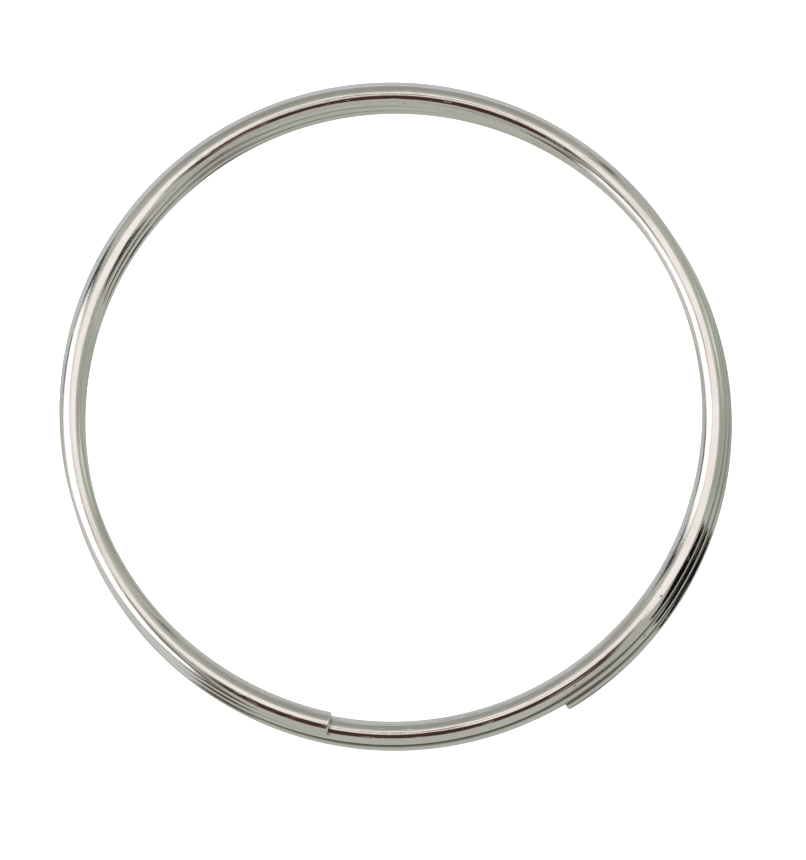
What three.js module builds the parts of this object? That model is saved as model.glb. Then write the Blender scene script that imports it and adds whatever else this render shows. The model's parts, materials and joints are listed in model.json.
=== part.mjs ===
// Split key ring: one length of round spring wire wound into a close coil of almost three turns.
// Millimetres, +Z up. The ring lies flat: its front wire end is on top and its back end underneath.
// A key is pushed under either end, so the half turn behind each end has to bend away from the coil.
// Each of those half turns, or arms, is cut into short stretches that turn on hinges in the cuts.
import * as THREE from 'three';

// The wire
const WIRE_DIAMETER = 2.1;
const END_BEVEL = 0.2; // edge broken round each cut end

// The coil, from the front end (turn 0) to the back end
const MEAN_DIAMETER = 57.9; // wire centre to wire centre, at half height
const TURNS = 2.885;
const TURN_GAP = 0.05; // air left between neighbouring turns
const FRONT_END_ANGLE = -100.9; // degrees anticlockwise from +X, seen from above

// How far a hand-wound coil strays from a true helix
const CONE_PER_TURN = 0.185; // growth of the radius towards the back
const LEAN_PER_TURN = 0.295; // sideways shift of each turn towards the back
const LEAN_ANGLE = -41.5; // its direction, degrees anticlockwise from +X
const FRONT_FLARE = 0.22; // how far the front end stands out
const FRONT_FLARE_TURNS = 0.1;

// The flexing arms
const ARM_TURNS = 0.5;
const ARM_STRETCHES = 6;
const FLEX_GAP = 0.3; // width of the cut at each hinge

// Facets
const SECTION_SIDES = 12;
const STEP_TURNS = 5 / 360;

const PLATED_STEEL = { color: 0xc9c7c2, roughness: 0.16, metalness: 1 };

const WIRE_RADIUS = WIRE_DIAMETER / 2;
const MEAN_RADIUS = MEAN_DIAMETER / 2;
const PITCH = WIRE_DIAMETER + TURN_GAP;
const UP = new THREE.Vector3(0, 0, 1);

// 1 at the wire end, easing to 0 at `reach` turns from it.
function endEase(turnsFromEnd, reach) {
  return Math.max(0, 1 - turnsFromEnd / reach) ** 2;
}

function coilAngle(turn) {
  return THREE.MathUtils.degToRad(FRONT_END_ANGLE) - turn * 2 * Math.PI;
}

// Centre line of the wire, run clockwise and downwards from the front end.
class CoilCentreLine extends THREE.Curve {
  getPoint(u, target = new THREE.Vector3()) {
    return this.atTurn(u * TURNS, target);
  }

  atTurn(turn, target = new THREE.Vector3()) {
    const fromMiddle = turn - TURNS / 2;
    const flare = FRONT_FLARE * endEase(turn, FRONT_FLARE_TURNS);
    const radius = MEAN_RADIUS + CONE_PER_TURN * fromMiddle + flare;
    const angle = coilAngle(turn);
    const leanAngle = THREE.MathUtils.degToRad(LEAN_ANGLE);
    const lean = LEAN_PER_TURN * fromMiddle;
    const x = radius * Math.cos(angle) + lean * Math.cos(leanAngle);
    const y = radius * Math.sin(angle) + lean * Math.sin(leanAngle);
    const z = WIRE_RADIUS + PITCH * (TURNS - turn);
    return target.set(x, y, z);
  }

  // Direction of the wire at a turn, away from the front end.
  directionAtTurn(turn) {
    const reach = STEP_TURNS / 100;
    return this.atTurn(turn + reach).sub(this.atTurn(turn - reach)).normalize();
  }
}

const centreLine = new CoilCentreLine();

function turnsAlong(length) {
  return length / (Math.PI * MEAN_DIAMETER);
}

// One many-sided section of the wire, square to its centre line.
function wireSection(turn, radius) {
  const centre = centreLine.atTurn(turn);
  const along = centreLine.directionAtTurn(turn);
  const outward = new THREE.Vector3().crossVectors(UP, along).normalize();
  const upward = new THREE.Vector3().crossVectors(along, outward);
  const points = [];
  for (let side = 0; side < SECTION_SIDES; side += 1) {
    const angle = (side / SECTION_SIDES) * 2 * Math.PI;
    const point = centre.clone();
    point.addScaledVector(outward, radius * Math.cos(angle));
    point.addScaledVector(upward, radius * Math.sin(angle));
    points.push(point);
  }
  return { centre, points };
}

// Sections of a stretch of wire, with a narrower first or last one where its edge is bevelled.
function stretchSections(from, to, bevelFrom, bevelTo) {
  const bevelTurns = turnsAlong(END_BEVEL);
  const start = bevelFrom ? from + bevelTurns : from;
  const end = bevelTo ? to - bevelTurns : to;
  const steps = Math.max(1, Math.round((end - start) / STEP_TURNS));
  const sections = [];
  if (bevelFrom) sections.push(wireSection(from, WIRE_RADIUS - END_BEVEL));
  for (let step = 0; step <= steps; step += 1) {
    sections.push(wireSection(start + ((end - start) * step) / steps, WIRE_RADIUS));
  }
  if (bevelTo) sections.push(wireSection(to, WIRE_RADIUS - END_BEVEL));
  return sections;
}

// Closed body through a row of sections, with a flat cap on each end.
function loft(sections) {
  const positions = [];
  const triangles = [];
  const ringStart = (ring) => ring * SECTION_SIDES;
  for (const section of sections) {
    for (const point of section.points) positions.push(point.x, point.y, point.z);
  }
  for (let ring = 0; ring < sections.length - 1; ring += 1) {
    for (let side = 0; side < SECTION_SIDES; side += 1) {
      const next = (side + 1) % SECTION_SIDES;
      const near = ringStart(ring);
      const far = ringStart(ring + 1);
      triangles.push(near + side, near + next, far + side);
      triangles.push(near + next, far + next, far + side);
    }
  }
  const last = ringStart(sections.length - 1);
  for (let side = 1; side < SECTION_SIDES - 1; side += 1) {
    triangles.push(0, side + 1, side);
    triangles.push(last, last + side, last + side + 1);
  }
  const geometry = new THREE.BufferGeometry();
  geometry.setAttribute('position', new THREE.Float32BufferAttribute(positions, 3));
  geometry.setIndex(triangles);
  geometry.computeVertexNormals();
  return geometry;
}

function wireMesh(name, from, to, bevelFrom = false, bevelTo = false) {
  const geometry = loft(stretchSections(from, to, bevelFrom, bevelTo));
  const mesh = new THREE.Mesh(geometry, new THREE.MeshStandardMaterial(PLATED_STEEL));
  mesh.name = name;
  return mesh;
}

// The stretches of one arm, numbered from its free end, which is the tip.
function armMeshes(side) {
  const halfGap = turnsAlong(FLEX_GAP) / 2;
  const stretchTurns = ARM_TURNS / ARM_STRETCHES;
  const meshes = [];
  for (let stretch = 1; stretch <= ARM_STRETCHES; stretch += 1) {
    const isTip = stretch === 1;
    const outer = (stretch - 1) * stretchTurns + (isTip ? 0 : halfGap);
    const inner = stretch * stretchTurns - halfGap;
    const name = isTip ? `${side}_tip` : `${side}_stretch_${stretch}`;
    if (side === 'front') meshes.push(wireMesh(name, outer, inner, isTip, false));
    else meshes.push(wireMesh(name, TURNS - inner, TURNS - outer, false, isTip));
  }
  return meshes;
}

function midCoilMesh() {
  const halfGap = turnsAlong(FLEX_GAP) / 2;
  return wireMesh('mid_coil', ARM_TURNS + halfGap, TURNS - ARM_TURNS - halfGap);
}

// Stands the ring on Z = 0 with the middle of its outline on the Z axis.
function standOnOrigin(ring) {
  const box = new THREE.Box3().setFromObject(ring, true);
  const middle = box.getCenter(new THREE.Vector3());
  ring.position.set(-middle.x, -middle.y, -box.min.z);
  ring.updateMatrixWorld(true);
}

const ring = new THREE.Group();
ring.name = 'split_key_ring';
ring.add(...armMeshes('front'), midCoilMesh(), ...armMeshes('back'));
standOnOrigin(ring);

export default ring;
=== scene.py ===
# %% [markdown]
# # A split key ring
# The real thing is one length of round spring wire, wound into a close coil of almost three turns
# and plated with bright nickel. Nothing is joined to it: the two cut ends just lie against the coil,
# and a key is pushed in under one of them and slid round.
# This lesson builds the wire as a mesh, gives it a plated finish, hangs its two cut ends on the
# bodies that open them, and lights it the way shiny wire has to be lit: by what stands around it.

# %% Load the frame
import json
import math

import bpy
import numpy as np
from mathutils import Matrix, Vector


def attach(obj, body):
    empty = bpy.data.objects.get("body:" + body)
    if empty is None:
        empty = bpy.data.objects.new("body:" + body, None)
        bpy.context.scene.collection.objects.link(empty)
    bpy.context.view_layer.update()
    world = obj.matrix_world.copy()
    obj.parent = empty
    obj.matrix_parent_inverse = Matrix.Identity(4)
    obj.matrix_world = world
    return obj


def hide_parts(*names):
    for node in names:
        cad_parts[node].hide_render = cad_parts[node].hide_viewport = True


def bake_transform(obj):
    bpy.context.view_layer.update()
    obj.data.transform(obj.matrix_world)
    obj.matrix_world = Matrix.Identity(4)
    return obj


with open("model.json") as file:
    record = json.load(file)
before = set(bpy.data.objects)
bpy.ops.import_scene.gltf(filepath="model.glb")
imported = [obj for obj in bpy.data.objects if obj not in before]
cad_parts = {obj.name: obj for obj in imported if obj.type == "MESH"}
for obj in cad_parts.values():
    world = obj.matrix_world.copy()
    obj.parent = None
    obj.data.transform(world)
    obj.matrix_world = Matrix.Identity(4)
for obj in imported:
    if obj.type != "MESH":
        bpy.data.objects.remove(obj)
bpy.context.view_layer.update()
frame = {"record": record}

# %% [markdown]
# ## The line that the wire follows
# A coil is a circle that sinks by one wire thickness on each turn, so its centre line is a formula
# and needs no hand-placed points. A real ring is wound by a machine and then pried open and shut, so
# it isn't a perfect helix: each turn is a little wider than the one in front, and lies a little to
# the right of it and nearer to us. The front end springs out a touch. Each of these is one number.
# Places along the wire are counted in turns: 0 is the front cut end and TURNS is the back one.

# %% Sizes of the coil, the same as in the CAD
MM = 0.001
WIRE_RADIUS = 1.05 * MM
MEAN_RADIUS = 28.95 * MM
TURNS = 2.885
TURN_GAP = 0.05 * MM
PITCH = 2 * WIRE_RADIUS + TURN_GAP
FRONT_END_ANGLE = math.radians(-100.9)
CONE_PER_TURN = 0.185 * MM
LEAN_PER_TURN = 0.295 * MM
LEAN_ANGLE = math.radians(-41.5)
FRONT_FLARE = 0.22 * MM
FRONT_FLARE_TURNS = 0.1
TURN_LENGTH = 2 * math.pi * MEAN_RADIUS
print("wire length:", round(TURN_LENGTH * TURNS / MM), "mm")


# %% The centre line
def end_ease(turns_from_end, reach):
    """1 at the wire end, easing to 0 at reach turns from it."""
    return np.clip(1 - turns_from_end / reach, 0, None) ** 2


def coil_line(turns):
    """Points on the centre line, before the coil is moved to its place in the frame."""
    turns = np.asarray(turns, float)
    from_middle = turns - TURNS / 2
    flare = FRONT_FLARE * end_ease(turns, FRONT_FLARE_TURNS)
    radius = MEAN_RADIUS + CONE_PER_TURN * from_middle + flare
    angle = FRONT_END_ANGLE - turns * 2 * math.pi
    lean = LEAN_PER_TURN * from_middle
    x = radius * np.cos(angle) + lean * math.cos(LEAN_ANGLE)
    y = radius * np.sin(angle) + lean * math.sin(LEAN_ANGLE)
    z = WIRE_RADIUS + PITCH * (TURNS - turns)
    return np.stack([x, y, z], axis=1)


def unit(vectors):
    """The same directions, each of length 1."""
    return vectors / np.linalg.norm(vectors, axis=1, keepdims=True)


# %% [markdown]
# The frame says exactly where the front cut face is, as one of its mounts. Moving the formula's first
# point onto that mount puts the whole wire where the CAD has it, with nothing fitted by eye.

# %% Put the coil in its place
mounts = {mount["name"]: mount for mount in frame["record"]["mounts"]}
COIL_MIDDLE = np.array(mounts["front_end_face"]["pos_m"]) - coil_line([0])[0]
back_miss = COIL_MIDDLE + coil_line([TURNS])[0] - mounts["back_end_face"]["pos_m"]
print("back end is off its mount by", round(np.linalg.norm(back_miss) / MM, 4), "mm")


def wire_frames(turns):
    """Centre, outward, upward and forward directions of the wire at each place along it."""
    step = 1e-4
    turns = np.asarray(turns, float)
    forward = unit(coil_line(turns + step) - coil_line(turns - step))
    outward = unit(np.cross([0, 0, 1], forward))
    upward = np.cross(forward, outward)
    return COIL_MIDDLE + coil_line(turns), outward, upward, forward


# %% [markdown]
# ## The wire's surface
# The surface is a ladder of rings strung along the centre line and joined by quads. A bevelled
# Blender curve would make the same tube, but it can't round over a cut end or carry our own data on
# each point. Each ring is one station: where it is, how wide it is, and how far its normals tip from
# straight out towards the wire's end. On a free end the rings close in over a small rounded edge and
# across the sheared face. Writing the normals ourselves means that neighbouring pieces of wire meet
# without a visible seam, although each is a closed mesh of its own.

# %% Stations along a piece of wire
RING_SIDES = 48
STATION_STEP = 1 / 360  # a ring at every degree
EDGE_ROUND = 0.2 * MM
EDGE_STATIONS = 6
FACE_RINGS = (0.25, 0.5, 0.75)
FACE_DISH = 0.03 * MM


def cut_end_stations():
    """(distance from the end, radius, tip of the normal) from the middle of a cut face outwards."""
    flat_radius = WIRE_RADIUS - EDGE_ROUND
    rows = []
    for share in FACE_RINGS:
        dish = FACE_DISH * (1 - share**2)
        rows.append((dish, share * flat_radius, math.pi / 2))
    for i in range(EDGE_STATIONS + 1):
        tip = math.pi / 2 * (1 - i / EDGE_STATIONS)
        back = EDGE_ROUND * (1 - math.sin(tip))
        rows.append((back, flat_radius + EDGE_ROUND * math.cos(tip), tip))
    return np.array(rows)


def stations(start, end, cut_start, cut_end):
    """Rows of place in turns, radius and tip of the normal, from start to end."""
    edge_turns = EDGE_ROUND / TURN_LENGTH
    first = start + edge_turns if cut_start else start
    last = end - edge_turns if cut_end else end
    count = max(2, round((last - first) / STATION_STEP) + 1)
    places = np.linspace(first, last, count)
    rows = np.stack([places, np.full(count, WIRE_RADIUS), np.zeros(count)], axis=1)
    ends = cut_end_stations()
    in_turns = ends[:, 0] / TURN_LENGTH
    if cut_start:
        head = np.stack([start + in_turns, ends[:, 1], -ends[:, 2]], axis=1)
        rows = np.vstack([head[:-1], rows])
    if cut_end:
        tail = np.stack([end - in_turns, ends[:, 1], ends[:, 2]], axis=1)
        rows = np.vstack([rows, tail[:-1][::-1]])
    return rows


print("rings over a cut end:", len(cut_end_stations()))

# %% [markdown]
# Each point also carries two facts that the finish will need. `wire_place` is the point's place on
# the straightened wire in millimetres: along it, and across it. Marks made while the wire was drawn
# through its die follow the wire, so the finish has to be laid out that way and not in world space.
# `groove` is 1 where a neighbouring turn covers this one, and fades to 0 just where this one comes
# into sight. No polish reaches in there, so the wire is rougher; its colour is also darkened there,
# a painted line of shade along every turn where the neighbour shades it.
# How far a turn is covered follows from how far its neighbour is shifted sideways.

# %% Where neighbouring turns touch
GROOVE_FADE = math.radians(14)
MOST_COVERED = math.radians(42)
NEXT_TURN_OVER = (-1, math.pi / 2)
NEXT_TURN_UNDER = (1, 3 * math.pi / 2)


def smooth_rise(values, start, end):
    """0 before start and 1 after end, with a smooth rise between them."""
    share = np.clip((values - start) / (end - start), 0, 1)
    return share * share * (3 - 2 * share)


def groove_strength(turns, angles):
    """1 on the part of this turn that a neighbour covers, 0 on the part that shows."""
    centre, outward, _, _ = wire_frames(turns)
    strength = np.zeros((len(turns), len(angles)))
    for step, touching_angle in (NEXT_TURN_OVER, NEXT_TURN_UNDER):
        shift = np.sum((wire_frames(turns + step)[0] - centre) * outward, axis=1)
        has_neighbour = (turns + step >= 0) & (turns + step <= TURNS)
        # The angle from the touching line, positive towards the outside of the ring.
        from_touch = (angles[None, :] - touching_angle + math.pi) % (2 * math.pi) - math.pi
        from_touch = from_touch * step
        overhang = np.clip(1 - np.abs(shift) / WIRE_RADIUS, 0, 1)
        covered = np.minimum(math.pi / 2 - np.arccos(overhang), MOST_COVERED)
        covered_outside = np.where(shift < 0, covered, MOST_COVERED)[:, None]
        covered_inside = np.where(shift > 0, covered, MOST_COVERED)[:, None]
        edge = np.where(from_touch > 0, covered_outside, covered_inside)
        hidden = 1 - smooth_rise(np.abs(from_touch), edge, edge + GROOVE_FADE)
        strength += np.where(has_neighbour[:, None], hidden, 0)
    return strength


middle_of_coil = np.array([TURNS / 2])
top_and_outside = np.array([math.pi / 2, 0])
print("groove on top and outside:", groove_strength(middle_of_coil, top_and_outside).round(2)[0])


# %% Quads between the rings
def tube_faces(ring_count):
    """Quads between the rings, then a fan of triangles on each end. Two hub points come last."""
    faces = []
    for ring in range(ring_count - 1):
        for side in range(RING_SIDES):
            after = (side + 1) % RING_SIDES
            near, far = ring * RING_SIDES, (ring + 1) * RING_SIDES
            faces.append((near + side, near + after, far + after, far + side))
    last = (ring_count - 1) * RING_SIDES
    hub = ring_count * RING_SIDES
    for side in range(RING_SIDES):
        after = (side + 1) % RING_SIDES
        faces.append((hub, after, side))
        faces.append((hub + 1, last + side, last + after))
    return faces


# %% Build one piece of wire
def wire_piece(name, start, end, cut_start=False, cut_end=False):
    """A closed mesh of the wire from start to end, in turns, with rounded edges where it is cut."""
    rows = stations(start, end, cut_start, cut_end)
    turns, radius, tip = rows.T
    centre, outward, upward, forward = wire_frames(turns)
    angles = np.arange(RING_SIDES) * 2 * math.pi / RING_SIDES
    across = (
        outward[:, None] * np.cos(angles)[None, :, None]
        + upward[:, None] * np.sin(angles)[None, :, None]
    )
    points = centre[:, None] + across * radius[:, None, None]
    normals = across * np.cos(tip)[:, None, None]
    normals = normals + forward[:, None] * np.sin(tip)[:, None, None]
    hub_shift = FACE_DISH / TURN_LENGTH
    hubs, _, _, hub_forward = wire_frames(
        [start + hub_shift * cut_start, end - hub_shift * cut_end]
    )
    hub_normals = hub_forward * np.array([[-1], [1]])

    mesh = bpy.data.meshes.new(name)
    places = np.vstack([points.reshape(-1, 3), hubs])
    mesh.from_pydata(places.tolist(), [], tube_faces(len(rows)))
    point_normals = np.vstack([normals.reshape(-1, 3), hub_normals])
    set_normals(mesh, point_normals, hub_normals)
    add_wire_data(mesh, turns, radius, angles, (start, end))
    mark_cut_faces(mesh, len(rows), cut_start, cut_end)
    piece = bpy.data.objects.new(name, mesh)
    bpy.context.scene.collection.objects.link(piece)
    return piece


# %% Normals, data and the cut faces
def set_normals(mesh, point_normals, hub_normals):
    """Smooth normals from the points, and flat ones on the fans that close the two ends."""
    corner_points = np.empty(len(mesh.loops), int)
    mesh.loops.foreach_get("vertex_index", corner_points)
    corners = point_normals[corner_points]
    fan_corners = RING_SIDES * 2 * 3  # two fans of triangles
    fans = corners[-fan_corners:].reshape(RING_SIDES, 2, 3, 3)
    fans[:] = hub_normals[None, :, None]
    mesh.shade_smooth()
    mesh.normals_split_custom_set(corners.tolist())


def add_wire_data(mesh, turns, radius, angles, ends):
    """Writes wire_place, in millimetres, and groove on every point."""
    along = np.repeat(turns * TURN_LENGTH / MM, RING_SIDES)
    out = (radius[:, None] * np.cos(angles)).ravel() / MM
    up = (radius[:, None] * np.sin(angles)).ravel() / MM
    place = np.stack([along, out, up], axis=1)
    hubs = [[end * TURN_LENGTH / MM, 0, 0] for end in ends]
    place = np.vstack([place, hubs]).astype(np.float32)
    groove = groove_strength(turns, angles).ravel()
    groove = np.append(groove, [0, 0]).astype(np.float32)
    data = mesh.attributes.new("wire_place", "FLOAT_VECTOR", "POINT")
    data.data.foreach_set("vector", place.ravel())
    data = mesh.attributes.new("groove", "FLOAT", "POINT")
    data.data.foreach_set("value", groove)


def mark_cut_faces(mesh, ring_count, cut_start, cut_end):
    """Gives the flat of each cut end the second material slot."""
    index = np.zeros(len(mesh.polygons), np.int32)
    # After the quads, the triangles of the start fan and the end fan take turns.
    quads = (ring_count - 1) * RING_SIDES
    face_quads = len(FACE_RINGS) * RING_SIDES
    if cut_start:
        index[:face_quads] = 1
        index[quads::2] = 1
    if cut_end:
        index[quads - face_quads : quads] = 1
        index[quads + 1 :: 2] = 1
    mesh.polygons.foreach_set("material_index", index)


# %% [markdown]
# ## The wire's two arms
# Prying an end open bends the half turn behind it in one smooth curve. The CAD holds that as six short
# stretches on six hinges. If each visible piece rode on one stretch, the wire would break into
# straight lengths with gaps. So the visible wire is cut elsewhere: in the middle of each stretch.
# A piece then runs from one middle to the next, with the hinge in its middle. Only the piece at the
# cut end rides on a body, the tip's; the pieces behind it stay where the coil lies at rest.

# %% The pieces and what they follow
ARM_TURNS = 0.5
ARM_STRETCHES = 6
STRETCH = ARM_TURNS / ARM_STRETCHES


def stretch_name(side, number):
    """The CAD node of a stretch, numbered from the free end."""
    return f"{side}_tip" if number == 1 else f"{side}_stretch_{number}"


def stretch_body(side, number):
    """The moving body of a stretch. Past the last stretch it is the coil itself."""
    return "root" if number > ARM_STRETCHES else stretch_name(side, number)


def from_end(side, turns):
    """A place that far from the front or the back end of the wire."""
    return turns if side == "front" else TURNS - turns


def arm_piece(name, side, near, far, is_tip=False):
    """Wire between two distances from one end, whichever way round they run along the coil."""
    if side == "front":
        return wire_piece(name, near, far, cut_start=is_tip)
    return wire_piece(name, TURNS - far, TURNS - near, cut_end=is_tip)


# %% Build both arms and the coil between them
wire = []
for side in ("front", "back"):
    tip = arm_piece(f"{side}_end", side, 0, STRETCH / 2, is_tip=True)
    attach(tip, stretch_body(side, 1))
    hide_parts(stretch_name(side, 1))
    wire.append(tip)
    for number in range(1, ARM_STRETCHES + 1):
        near, far = (number - 0.5) * STRETCH, (number + 0.5) * STRETCH
        bend = arm_piece(f"{side}_bend_{number}", side, near, far)
        start, finish = wire_frames([from_end(side, near), from_end(side, far)])[0]
        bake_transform(bend)
        if number < ARM_STRETCHES:
            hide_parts(stretch_name(side, number + 1))
        wire.append(bend)
ARM_REACH = ARM_TURNS + STRETCH / 2
coil = wire_piece("middle_coil", ARM_REACH, TURNS - ARM_REACH)
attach(coil, "root")
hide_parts("mid_coil")
wire.append(coil)
print("pieces of wire:", len(wire), "faces:", sum(len(p.data.polygons) for p in wire))

# %% [markdown]
# ## Bright nickel plate
# Nickel is a metal, so nearly all of its look is reflection: Metallic is 1 and the base colour is the
# warm tint that it gives to what it reflects. What tells plated wire from a perfect mirror is small.
# Drawing leaves faint lines along the wire. Handling leaves short scratches at all angles. Plating
# leaves a few pinholes. In the grooves between turns the wire is rougher, and its colour is darkened
# there as painted shade. Each of these is a layer of noise, laid out with `wire_place`, that changes
# roughness, colour or the height of the surface.


# %% Small helpers for node trees
def new_material(name):
    """A new material with nodes on, returned with its node tree and its Principled shader node."""
    material = bpy.data.materials.new(name)
    material.use_nodes = True
    tree = material.node_tree
    shader = tree.nodes["Principled BSDF"]
    return material, tree, shader


def add_node(tree, kind, settings=(), **inputs):
    """A node with its settings and its inputs given as values or as sockets to link from."""
    node = tree.nodes.new(kind)
    for name, value in dict(settings).items():
        setattr(node, name, value)
    for name, value in inputs.items():
        socket = node.inputs[name.replace("_", " ")]
        if isinstance(value, bpy.types.NodeSocket):
            tree.links.new(value, socket)
        else:
            socket.default_value = value
    return node


def attribute(tree, name, output):
    """One of the facts that the mesh carries on its points."""
    node = add_node(tree, "ShaderNodeAttribute", {"attribute_name": name})
    return node.outputs[output]


def stretched_noise(tree, place, scale, turn=0.0, detail=2.0):
    """Noise with its own scale, per millimetre, along and across the wire."""
    along, across = scale
    mapping = add_node(tree, "ShaderNodeMapping", Vector=place)
    mapping.inputs["Rotation"].default_value = (0, 0, turn)
    mapping.inputs["Scale"].default_value = (along, across, across)
    noise = add_node(
        tree,
        "ShaderNodeTexNoise",
        Vector=mapping.outputs["Vector"],
        Scale=1.0,
        Detail=detail,
    )
    return noise.outputs["Fac"]


def remap(tree, value, low, high, to_low=0.0, to_high=1.0):
    """Clamped change of range."""
    node = tree.nodes.new("ShaderNodeMapRange")
    tree.links.new(value, node.inputs["Value"])
    limits = (low, high, to_low, to_high)
    names = ("From Min", "From Max", "To Min", "To Max")
    for name, limit in zip(names, limits):
        node.inputs[name].default_value = limit
    return node.outputs["Result"]


def combine(tree, operation, first, second):
    """Maths on two numbers or sockets."""
    node = tree.nodes.new("ShaderNodeMath")
    node.operation = operation
    for socket, value in zip(node.inputs, (first, second)):
        if isinstance(value, bpy.types.NodeSocket):
            tree.links.new(value, socket)
        else:
            socket.default_value = value
    return node.outputs["Value"]


def tint(tree, amount, first, second):
    """Colour between two, by amount. Each is a colour or a socket."""
    node = tree.nodes.new("ShaderNodeMix")
    node.data_type = "RGBA"
    tree.links.new(amount, node.inputs["Factor"])
    for socket, value in zip((node.inputs[6], node.inputs[7]), (first, second)):
        if isinstance(value, bpy.types.NodeSocket):
            tree.links.new(value, socket)
        else:
            socket.default_value = (*value, 1)
    return node.outputs[2]


def bump(tree, height, distance, below=None):
    """A layer of relief, distance metres high, on top of the one below."""
    node = add_node(tree, "ShaderNodeBump", Strength=1.0, Distance=distance, Height=height)
    if below is not None:
        tree.links.new(below, node.inputs["Normal"])
    return node.outputs["Normal"]


# %% The plated finish
NICKEL = (0.76, 0.745, 0.71)
DULL_NICKEL = (0.56, 0.535, 0.49)
PINHOLE = (0.06, 0.05, 0.045)
# Colour of the painted shade in the grooves, where a neighbouring turn covers the wire.
GROOVE_PAINTED_SHADE = (0.16, 0.15, 0.14)
MICRON = 1e-6
# Marks per millimetre, along the wire and across it.
DRAW_LINE_SCALE = (0.12, 7.0)
SPECKLE_SCALE = (6.0, 8.0)
HAZE_SCALE = (0.12, 0.5)
SCRATCH_SCALE = (0.5, 9.0)
STEEP_SCRATCH = math.radians(24)
SHALLOW_SCRATCH = math.radians(-11)
PINHOLE_CELLS = 0.33  # cells per millimetre, with a pinhole in the middle of each
PINHOLE_EDGE = (0.018, 0.034)


def scratch_lines(tree, place, turn):
    """Thin, sparse lines at an angle to the wire: 1 in a scratch and 0 outside it."""
    noise = stretched_noise(tree, place, SCRATCH_SCALE, turn=turn, detail=1.0)
    return remap(tree, noise, 0.70, 0.74)


def plated_wire_material():
    """Bright plate with lines, scratches, haze, pinholes, and painted shade in the grooves."""
    material, tree, shader = new_material("bright_nickel_plate")
    place = attribute(tree, "wire_place", "Vector")
    groove = attribute(tree, "groove", "Fac")
    draw_lines = stretched_noise(tree, place, DRAW_LINE_SCALE, detail=3.0)
    speckle = stretched_noise(tree, place, SPECKLE_SCALE, detail=2.0)
    haze = stretched_noise(tree, place, HAZE_SCALE, detail=3.0)
    steep = scratch_lines(tree, place, STEEP_SCRATCH)
    shallow = scratch_lines(tree, place, SHALLOW_SCRATCH)
    scratches = combine(tree, "MAXIMUM", steep, shallow)
    cells = add_node(tree, "ShaderNodeTexVoronoi", Vector=place, Scale=PINHOLE_CELLS)
    pinhole = remap(tree, cells.outputs["Distance"], *PINHOLE_EDGE, 1.0, 0.0)

    # The colour is a random duller haze, and darker in the grooves between turns: painted shade where
    # a neighbouring turn covers the wire.
    haze_and_groove_shade = remap(tree, haze, 0.35, 0.75, 0.0, 0.35)
    haze_and_groove_shade = combine(tree, "MAXIMUM", haze_and_groove_shade, combine(tree, "MULTIPLY", groove, 0.75))
    colour = tint(tree, haze_and_groove_shade, NICKEL, DULL_NICKEL)
    colour = tint(tree, groove, colour, GROOVE_PAINTED_SHADE)
    colour = tint(tree, pinhole, colour, PINHOLE)
    tree.links.new(colour, shader.inputs["Base Color"])

    rough = remap(tree, draw_lines, 0.3, 0.7, 0.055, 0.12)
    rough = combine(tree, "ADD", rough, combine(tree, "MULTIPLY", scratches, 0.16))
    rough = combine(tree, "ADD", rough, combine(tree, "MULTIPLY", groove, 0.14))
    tree.links.new(rough, shader.inputs["Roughness"])

    relief = bump(tree, draw_lines, 6 * MICRON)
    relief = bump(tree, speckle, 2 * MICRON, relief)
    relief = bump(tree, combine(tree, "SUBTRACT", 1.0, scratches), 4 * MICRON, relief)
    relief = bump(tree, combine(tree, "SUBTRACT", 1.0, pinhole), 12 * MICRON, relief)
    tree.links.new(relief, shader.inputs["Normal"])
    shader.inputs["Metallic"].default_value = 1.0
    return material


# %% [markdown]
# The cut faces were sheared before plating, so the same nickel covers a rougher steel. Shearing drags
# the metal one way: the face has fine parallel steps, and reflects as a soft grey.

# %% The sheared faces
SHEAR_STEP_SCALE = (1.0, 7.0)
FIBRE_SCALE = (1.0, 1.2, 16.0)  # along the wire, and both ways across the face


def cut_face_material():
    """The same plate over a rougher, sheared face."""
    material, tree, shader = new_material("sheared_and_plated")
    place = attribute(tree, "wire_place", "Vector")
    steps = stretched_noise(tree, place, SHEAR_STEP_SCALE, detail=3.0)
    drag = add_node(tree, "ShaderNodeMapping", Vector=place)
    drag.inputs["Scale"].default_value = FIBRE_SCALE
    lines = add_node(tree, "ShaderNodeTexNoise", Vector=drag.outputs["Vector"], Scale=1.0)
    fibres = lines.outputs["Fac"]
    colour = tint(tree, remap(tree, fibres, 0.3, 0.7), DULL_NICKEL, NICKEL)
    tree.links.new(colour, shader.inputs["Base Color"])
    rough = remap(tree, steps, 0.3, 0.7, 0.28, 0.45)
    tree.links.new(rough, shader.inputs["Roughness"])
    relief = bump(tree, fibres, 9 * MICRON)
    relief = bump(tree, steps, 6 * MICRON, relief)
    tree.links.new(relief, shader.inputs["Normal"])
    shader.inputs["Metallic"].default_value = 1.0
    return material


finishes = plated_wire_material(), cut_face_material()
for piece in wire:
    for finish in finishes:
        piece.data.materials.append(finish)
print("finishes:", [finish.name for finish in finishes])

# %% [markdown]
# ## The camera
# The ring lies flat and is seen almost from straight above, from a little towards the side where its
# cut ends are. That small lean is what shows the three turns side by side. The lens is long, so the
# turns keep the same size from front to back. The ring sits slightly left of and above the middle.

# %% Camera
CAMERA_LEAN = math.radians(7.27)
CAMERA_DISTANCE = 585 * MM
FRAME_HEIGHT = 77.4 * MM
AIM_RIGHT = 0.765 * MM
AIM_UP = -1.34 * MM
TO_CAMERA = np.array([0, -math.sin(CAMERA_LEAN), math.cos(CAMERA_LEAN)])
IMAGE_RIGHT = np.array([1, 0, 0])
IMAGE_UP = np.cross(TO_CAMERA, IMAGE_RIGHT)
HALF_HEIGHT = WIRE_RADIUS + PITCH * TURNS / 2
RING_MIDDLE = COIL_MIDDLE + np.array([0, 0, HALF_HEIGHT])

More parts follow.
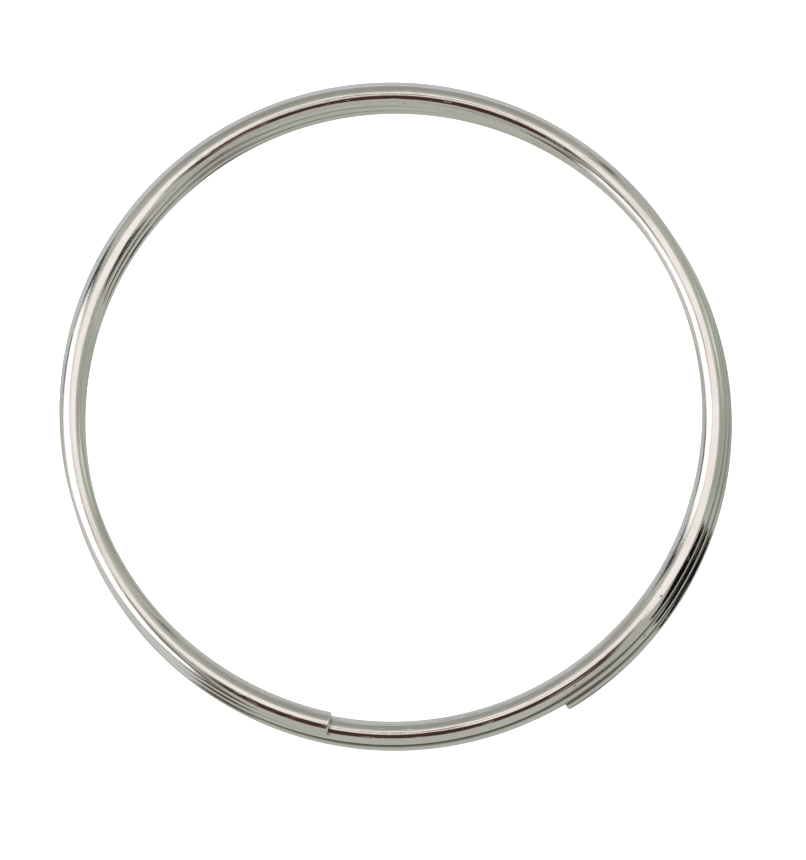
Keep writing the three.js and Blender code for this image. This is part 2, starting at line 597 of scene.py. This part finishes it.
camera_data = bpy.data.cameras.new("camera")
camera_data.lens = camera_data.sensor_width * CAMERA_DISTANCE / FRAME_HEIGHT
camera = bpy.data.objects.new("camera", camera_data)
aim = RING_MIDDLE + AIM_RIGHT * IMAGE_RIGHT + AIM_UP * IMAGE_UP
camera.location = aim + TO_CAMERA * CAMERA_DISTANCE
camera.rotation_euler = (CAMERA_LEAN, 0, 0)
bpy.context.scene.collection.objects.link(camera)
bpy.context.scene.camera = camera
print("lens:", round(camera_data.lens), "mm")

# %% [markdown]
# ## What the wire reflects
# Round, polished wire is a mirror that shows the whole room squeezed into a thin strip. Lamps alone
# would give it one hard line, so the room has to be built. Here it is a set of curved cards that
# stand round the ring, each cut to an outline and either bright, grey or dark: a big window on the
# left, a pale ceiling round the lens, the dark shapes of a person and furniture below and beside it.
# A card's corners are given as seen from the ring: degrees to the right of the lens and above it,
# so 90 is level with the ring and more is behind it. The cards fade out at the rim, as things do
# that are out of focus. Only reflections see them, so they never block the view.


# %% Light materials
def glow_material(name, colour, strength):
    """A surface that shines evenly with one colour."""
    material = bpy.data.materials.new(name)
    material.use_nodes = True
    tree = material.node_tree
    tree.nodes.clear()
    glow = add_node(tree, "ShaderNodeEmission", Color=(*colour, 1), Strength=strength)
    out = tree.nodes.new("ShaderNodeOutputMaterial")
    tree.links.new(glow.outputs["Emission"], out.inputs["Surface"])
    return material


def fading_glow_material(name, colour, strength, soft):
    """A glow that turns clear towards the card's rim, over this share of its width."""
    material = glow_material(name, colour, strength)
    tree = material.node_tree
    inside = remap(tree, attribute(tree, "inside", "Fac"), 0.0, soft)
    mix = tree.nodes.new("ShaderNodeMixShader")
    clear = tree.nodes.new("ShaderNodeBsdfTransparent")
    tree.links.new(inside, mix.inputs[0])
    tree.links.new(clear.outputs["BSDF"], mix.inputs[1])
    tree.links.new(tree.nodes["Emission"].outputs["Emission"], mix.inputs[2])
    tree.links.new(mix.outputs["Shader"], tree.nodes["Material Output"].inputs["Surface"])
    return material


# %% Cards
CARD_STEP = 6  # degrees
CARD_RINGS = 8


def towards(right, up):
    """The direction from the ring that lies this many degrees right of the lens and above it."""
    off = max(math.hypot(right, up), 1e-9)
    side = (right * IMAGE_RIGHT + up * IMAGE_UP) / off
    return math.cos(math.radians(off)) * TO_CAMERA + math.sin(math.radians(off)) * side


def stage_object(name, points, faces, material):
    """A mesh that belongs to the set and not to the ring."""
    mesh = bpy.data.meshes.new(name)
    mesh.from_pydata([tuple(point) for point in points], [], faces)
    mesh.materials.append(material)
    thing = bpy.data.objects.new(name, mesh)
    bpy.context.scene.collection.objects.link(thing)
    return thing


def only_in_reflections(thing):
    """Shiny surfaces see it. The camera, matt surfaces and shadows don't."""
    thing.visible_camera = False
    thing.visible_diffuse = False
    thing.visible_shadow = False


def finely(outline):
    """The outline with its edges cut into steps of at most CARD_STEP degrees."""
    corners = np.array(outline, float)
    points = []
    for here, there in zip(corners, np.roll(corners, -1, axis=0)):
        steps = math.ceil(np.linalg.norm(there - here) / CARD_STEP)
        points += [here + (there - here) * i / steps for i in range(steps)]
    return np.array(points)


def card(name, outline, colour, strength, distance, soft=0.1):
    """A card on a sphere of this radius round the ring, built as rings from its middle outwards."""
    rim = finely(outline)
    middle = rim.mean(axis=0)
    count = len(rim)
    flat = [middle]
    faces = []
    for ring in range(1, CARD_RINGS + 1):
        flat += list(middle + (rim - middle) * ring / CARD_RINGS)
        for i in range(count):
            j = (i + 1) % count
            far = 1 + (ring - 1) * count
            near = far - count
            if ring == 1:
                faces.append((0, far + i, far + j))
            else:
                faces.append((near + i, far + i, far + j, near + j))
    points = [RING_MIDDLE + distance * towards(*place) for place in flat]
    glow = fading_glow_material(name, colour, strength, soft)
    thing = stage_object(name, points, faces, glow)
    inside = [1.0] + [1 - ring / CARD_RINGS for ring in range(1, CARD_RINGS + 1) for _ in rim]
    data = thing.data.attributes.new("inside", "FLOAT", "POINT")
    data.data.foreach_set("value", inside)
    only_in_reflections(thing)
    return thing


# %% How far away the cards stand
WALL = 0.80
FAR = 0.72
MIDDLE = 0.66
NEAR = 0.60
LAYER = 0.01  # between two cards that overlap
print("cards stand", NEAR, "to", WALL, "m from the ring")

# %% [markdown]
# The bright and grey cards come first: they are the room itself. The window is the strongest light
# and gives the white line along the wire. The ceiling is the second white line. The green wall and the
# grey ceiling between and beside them give the soft greys that make the wire look round.

# %% Bright and grey cards
DAY_WHITE = (0.98, 0.985, 1.0)
COOL_WHITE = (0.86, 0.88, 1.0)
PINK_WHITE = (1.0, 0.95, 0.935)
WALL_BLUE = (0.66, 0.69, 0.72)
WALL_PALE = (0.72, 0.725, 0.74)
WALL_GREEN = (0.42, 0.455, 0.40)
LAMP_GREEN = (0.95, 1.05, 0.84)
CEILING_GREY = (0.38, 0.385, 0.365)
far_wall = [
    (-160, -10), (-140, 80), (-60, 150), (50, 150), (120, 95), (70, 80), (0, 84),
    (-70, 60), (-96, 10),
]
window = [
    (-11, 20), (-37, 33), (-59, 34), (-76, 18), (-90, -6), (-92, -34), (-84, -62),
    (-62, -74), (-49, -56), (-46, -28), (-38, -8), (-18, 10),
]
left_wall = [
    (-80, 26), (-100, 6), (-130, -20), (-150, -60), (-122, -96), (-92, -88), (-84, -30),
]
window_foot = [(-88, -52), (-94, -72), (-78, -88), (-62, -82), (-50, -60), (-62, -50)]
pale_ceiling = [
    (-14, 18), (3, 21), (14, 28), (34, 28), (53, 17), (63, 0), (62, -17), (48, -25),
    (37, -18), (25, -9), (12, -12), (-10, -14), (-28, -13), (-36, -2), (-24, 8),
]
green_wall = [
    (36, 44), (70, 66), (130, 62), (165, 12), (158, -44), (118, -28), (84, -18),
    (58, -18), (60, 6), (50, 24),
]
lamp_on_wall = [(56, 24), (60, 42), (78, 46), (98, 30), (108, 12), (98, 4), (80, 22)]
grey_ceiling = [
    (-60, 48), (-24, 32), (0, 26), (20, 36), (50, 66), (30, 84), (-30, 82), (-58, 66),
]
bright_cards = [
    card("far_wall", far_wall, WALL_BLUE, 1.0, WALL, soft=0.35),
    card("window", window, DAY_WHITE, 1.5, MIDDLE, soft=0.12),
    card("left_wall", left_wall, WALL_PALE, 1.0, FAR + LAYER, soft=0.5),
    card("window_foot", window_foot, COOL_WHITE, 0.95, MIDDLE + LAYER, soft=0.3),
    card("pale_ceiling", pale_ceiling, PINK_WHITE, 1.16, MIDDLE - LAYER, soft=0.22),
    card("green_wall", green_wall, WALL_GREEN, 1.0, WALL - 2 * LAYER, soft=0.3),
    card("lamp_on_wall", lamp_on_wall, LAMP_GREEN, 1.0, FAR + 2 * LAYER, soft=0.9),
    card("grey_ceiling", grey_ceiling, CEILING_GREY, 1.0, FAR, soft=0.35),
]
print("bright and grey cards:", len(bright_cards))

# %% [markdown]
# Metal looks like metal only if it also reflects something dark. The person who stands over the ring,
# a sleeve and a hand, a chair, a desk and a few thin things give the dark lines between the bright
# ones. They stand in front of the room, so their cards are nearer.

# %% Dark cards
DARK_MAROON = (0.07, 0.034, 0.032)
BLACK = (0.006, 0.005, 0.006)
SLATE = (0.04, 0.042, 0.055)
BROWN = (0.20, 0.125, 0.115)
SKIN = (0.6, 0.46, 0.44)
SHELF_GREY = (0.16, 0.16, 0.16)
CORNER_GREY = (0.11, 0.09, 0.09)
SEAM_GREY = (0.12, 0.12, 0.11)
PHONE_BROWN = (0.16, 0.12, 0.12)
FRAME_BROWN = (0.2, 0.14, 0.13)
person = [
    (-26, -17), (-6, -14), (14, -14), (25, -8), (31, -13), (38, -25), (49, -40),
    (45, -44), (28, -48), (6, -53), (-17, -59), (-34, -52), (-38, -36),
]
sleeve = [
    (-34, 2), (-41, 0), (-50, -28), (-52, -52), (-60, -76), (-64, -92), (-54, -92),
    (-46, -70), (-40, -50), (-39, -28), (-31, -10),
]
hand = [(24, -28), (32, -26), (36, -36), (30, -42), (23, -38)]
chair = [(-48, -74), (-62, -76), (-78, -84), (-68, -94), (-50, -98), (-44, -88)]
desk = [(57, -22), (84, -20), (103, -28), (98, -52), (90, -60), (76, -46), (66, -33)]
strap = [
    (-12, 19), (-30, 30), (-46, 42), (-53, 50), (-64, 48), (-74, 36), (-66, 38),
    (-44, 34), (-28, 25),
]
shelf = [(-66, 36), (-76, 36), (-88, 22), (-86, 8), (-78, 12), (-70, 26)]
dark_corner = [(60, -84), (84, -84), (122, -100), (112, -132), (70, -150), (56, -120)]
seam = [(18, 36), (46, 66), (50, 63), (22, 34)]
phone = [(-6, -4), (8, -4), (8, 5), (-6, 5)]
window_frame = [(-10, 17), (-22, 13), (-35, 2), (-41, -8), (-37, -8), (-31, -1), (-20, 8)]
dark_cards = [
    card("person", person, DARK_MAROON, 1.0, NEAR, soft=0.15),
    card("sleeve", sleeve, BROWN, 1.0, NEAR + LAYER, soft=0.7),
    card("hand", hand, SKIN, 1.0, NEAR - LAYER, soft=0.9),
    card("chair", chair, BLACK, 1.0, NEAR + 2 * LAYER, soft=0.15),
    card("desk", desk, BLACK, 1.0, NEAR + 2 * LAYER, soft=0.05),
    card("strap", strap, SLATE, 1.0, NEAR, soft=0.3),
    card("shelf", shelf, SHELF_GREY, 1.0, MIDDLE + 2 * LAYER, soft=0.5),
    card("dark_corner", dark_corner, CORNER_GREY, 1.0, FAR, soft=0.8),
    card("seam", seam, SEAM_GREY, 1.0, NEAR, soft=0.6),
    card("phone", phone, PHONE_BROWN, 1.0, NEAR - 2 * LAYER, soft=0.6),
    card("window_frame", window_frame, FRAME_BROWN, 1.0, NEAR - 3 * LAYER, soft=0.8),
]
print("dark cards:", len(dark_cards))

# %% [markdown]
# ## The table and the backdrop
# The ring lies on a white table that glows softly, as a back-lit product table does, so almost no
# shadow shows. The wire doesn't reflect this table: a real one looks far greyer from where the wire
# lies, so the grey of the world stands in for it. A big soft lamp above gives the table what faint
# shading it has. The backdrop and the air around are plain and pale.

# %% The table
TABLE_SIZE = 1.6
TABLE_DROP = 4.8 * MM  # the back end of the ring opens downwards and needs this room
TABLE_SHADES = (0.82, 0.82, 0.82), (0.86, 0.86, 0.86)
TABLE_GRAIN = 60.0
TABLE_GLOW = 0.72


def flat_sheet(name, outline, height, material):
    """A level four-sided sheet at this height."""
    corners = [(x, y, height) for x, y in outline]
    return stage_object(name, corners, [(0, 1, 2, 3)], material)


def table_material():
    """Matt white with a faint grain, glowing a little."""
    material, tree, shader = new_material("glowing_table")
    grain = add_node(tree, "ShaderNodeTexNoise", Scale=TABLE_GRAIN)
    colour = tint(tree, grain.outputs["Fac"], *TABLE_SHADES)
    tree.links.new(colour, shader.inputs["Base Color"])
    shader.inputs["Roughness"].default_value = 0.9
    shader.inputs["Emission Color"].default_value = (1, 1, 1, 1)
    shader.inputs["Emission Strength"].default_value = TABLE_GLOW
    return material


half = TABLE_SIZE / 2
table_outline = [(-half, -half), (half, -half), (half, half), (-half, half)]
table = flat_sheet("table", table_outline, -TABLE_DROP, table_material())
table.visible_glossy = False
print("table lies", round(TABLE_DROP / MM, 1), "mm below the ring")

# %% [markdown]
# To the right of the ring and nearer to us, the pale sheet ends and a dark desk shows. Only the
# outside of the wire there can see it, low down, so it is a real flat sheet and not one of the cards.

# %% The dark desk beside the table
DESK_ABOVE_TABLE = 0.2 * MM
desk_corners_mm = [(38, -12), (115, -35), (97, -70), (32, -24)]
desk_outline = [(x * MM, y * MM) for x, y in desk_corners_mm]
desk_height = DESK_ABOVE_TABLE - TABLE_DROP
desk_black = glow_material("desk_black", BLACK, 1.0)
desk_top = flat_sheet("desk_top", desk_outline, desk_height, desk_black)
only_in_reflections(desk_top)
print("desk starts", round(math.hypot(*desk_corners_mm[0])), "mm from the middle of the ring")

# %% A soft lamp
LAMP_SIZE = 0.9
LAMP_POWER = 9.0
LAMP_PLACE = Vector((-0.15, 0.2, 1.1))

lamp_data = bpy.data.lights.new("soft_lamp", "AREA")
lamp_data.size = LAMP_SIZE
lamp_data.energy = LAMP_POWER
lamp = bpy.data.objects.new("soft_lamp", lamp_data)
lamp.location = LAMP_PLACE
lamp.rotation_euler = (-LAMP_PLACE).to_track_quat("-Z", "Y").to_euler()
lamp.visible_glossy = False
bpy.context.scene.collection.objects.link(lamp)
print("lamp is", round(LAMP_PLACE.length, 2), "m from the ring")

# %% The air around
BACKDROP_RADIUS = 4.0
BACKDROP_GLOW = 0.97
ROOM_GREY = (0.54, 0.55, 0.505)

bpy.ops.mesh.primitive_uv_sphere_add(segments=48, ring_count=24, radius=BACKDROP_RADIUS)
backdrop = bpy.context.object
backdrop.name = "backdrop"
backdrop.data.materials.append(glow_material("backdrop_white", (1, 1, 1), BACKDROP_GLOW))
backdrop.visible_diffuse = False
backdrop.visible_glossy = False
backdrop.visible_shadow = False

world = bpy.data.worlds.new("room_grey")
world.use_nodes = True
world.node_tree.nodes["Background"].inputs["Color"].default_value = (*ROOM_GREY, 1)
bpy.context.scene.world = world
bpy.context.scene.view_settings.view_transform = "Standard"
print("things on the set:", len(bright_cards) + len(dark_cards) + len([table, desk_top, backdrop]))
